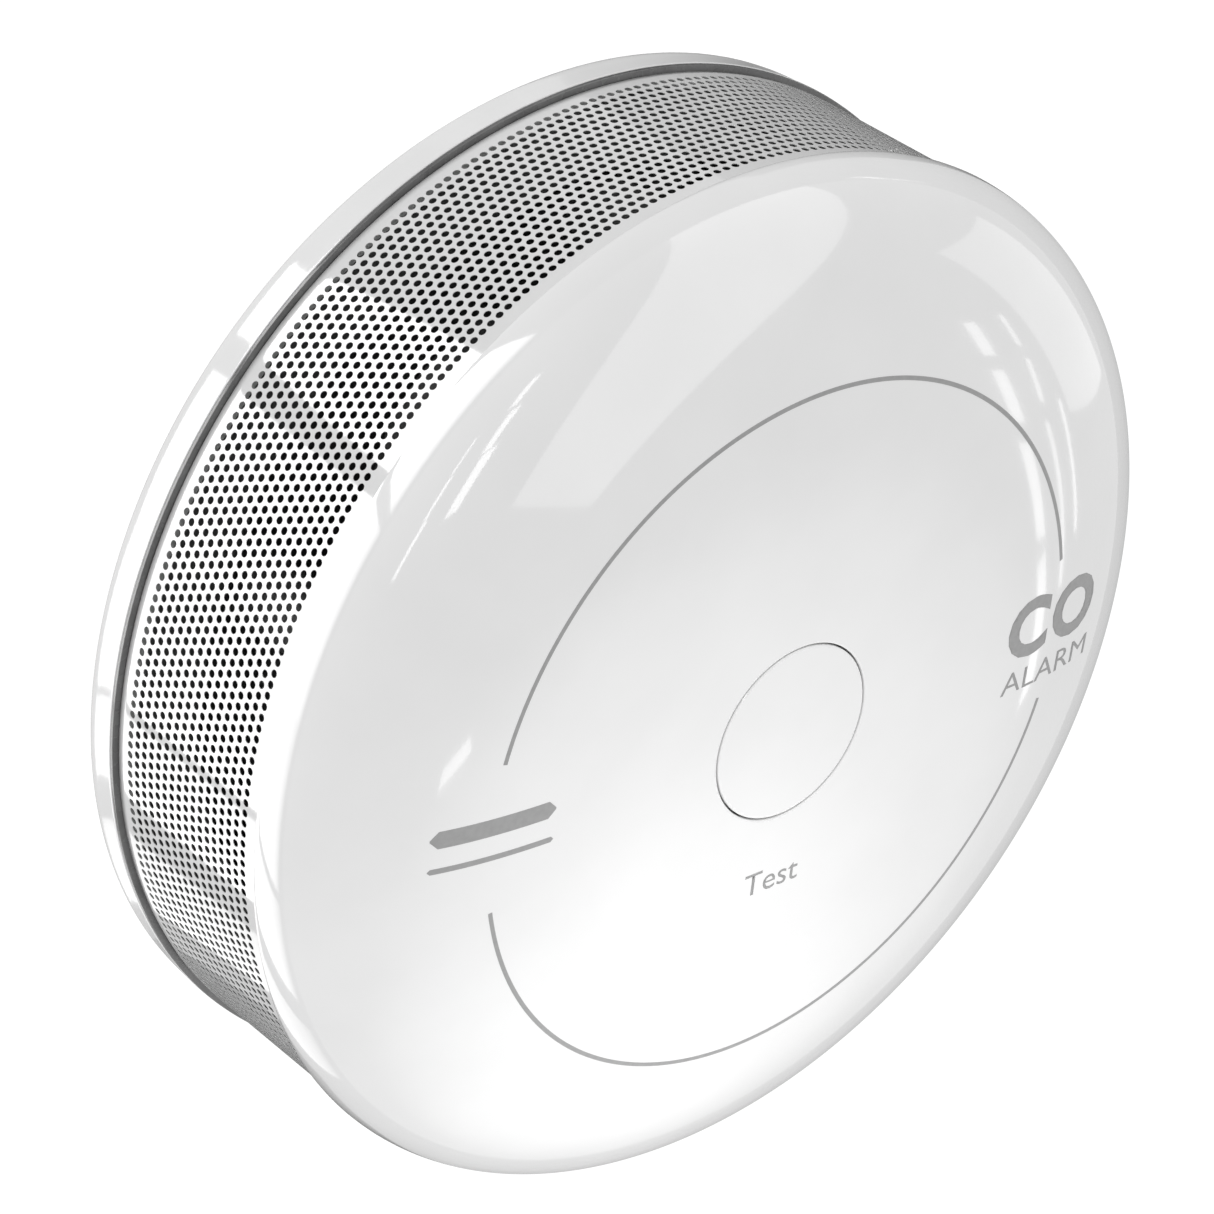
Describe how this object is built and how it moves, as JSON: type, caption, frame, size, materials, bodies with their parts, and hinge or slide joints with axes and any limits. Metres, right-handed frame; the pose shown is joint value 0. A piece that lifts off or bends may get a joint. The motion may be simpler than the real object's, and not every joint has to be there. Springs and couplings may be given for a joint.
{
  "type": "carbon monoxide detector",
  "caption": "Round battery-powered carbon monoxide alarm with a perforated side band and centre test button, on a twist-off wall base.",
  "frame": {"origin": "centre of the wall base's back face", "axes": "+Z out of the front along the round body's axis; +Y up on the printed front; +X to its right"},
  "size_m": [0.065, 0.065, 0.028],
  "materials": {
    "white_plastic": "glossy",
    "base_plastic": "glossy",
    "inner_plastic": "satin",
    "seal": "satin",
    "spring_steel": "polished",
    "contact_metal": "satin",
    "brass": "satin",
    "ceramic": "matte",
    "board": "satin",
    "black_plastic": "satin",
    "chip": "matte",
    "capacitor_body": "matte",
    "steel": "satin",
    "screw": "satin",
    "clear_plastic": "clear",
    "lamp": "glossy",
    "cell_wrap": "glossy",
    "copper": "satin"
  },
  "bodies": {
    "base": {"mounting_base": "base_plastic"},
    "seal_ring": {"seal_ring": "seal"},
    "head": {"grille_band": "white_plastic", "front_cover": "white_plastic", "test_switch": "black_plastic", "light_guide": "clear_plastic", "rear_housing": "inner_plastic", "circuit_board": "board", "board_screws": "screw", "housing_screws": "screw", "battery_can": "steel", "battery_sleeve": "cell_wrap", "battery_washer": "white_plastic", "battery_terminal": "contact_metal", "positive_contact": "contact_metal", "negative_contact": "contact_metal", "negative_spring": "spring_steel", "sensor_can": "steel", "sensor_cap": "black_plastic", "sensor_pins": "contact_metal", "sounder_housing": "black_plastic", "sounder_lid": "black_plastic", "sounder_diaphragm": "brass", "sounder_ceramic": "ceramic", "sounder_pins": "contact_metal", "tamper_spring": "spring_steel", "tamper_switch": "black_plastic", "status_lights": "lamp", "radio_shield": "contact_metal", "radio_chip": "chip", "microcontroller": "chip", "sensor_amplifier": "chip", "crystal": "steel", "sounder_coil": "chip", "reservoir_capacitor": "steel", "temperature_sensor": "chip", "antenna": "copper", "chip_resistors": "chip", "chip_capacitors": "capacitor_body", "button_spring": "spring_steel"},
    "button": {"test_button": "white_plastic", "test_switch_plunger": "white_plastic"},
    "tamper": {"tamper_plunger": "inner_plastic"}
  },
  "joints": [
    {"name": "head_turn", "type": "hinge", "parent": "base", "child": "seal_ring", "pos_m": [0, 0, 0.0075], "axis": [0, 0, 1], "range_deg": [-18, 0]},
    {"name": "head_lift", "type": "slide", "parent": "seal_ring", "child": "head", "axis": [0, 0, 1], "range_m": [0, 0.04]},
    {"name": "test_press", "type": "slide", "parent": "head", "child": "button", "axis": [0, 0, -1], "range_m": [0, 0.0005], "stiffness_N_per_m": 1500, "springref_m": -0.0008, "deforming": ["button_spring"]},
    {"name": "tamper_push", "type": "slide", "parent": "head", "child": "tamper", "axis": [0, 0, 1], "range_m": [0, 0.0011], "deforming": ["tamper_spring"]}
  ],
  "couplings": [
    {"joint": "tamper_push", "follows": "head_turn", "m_per_rad": -0.003183}
  ]
}
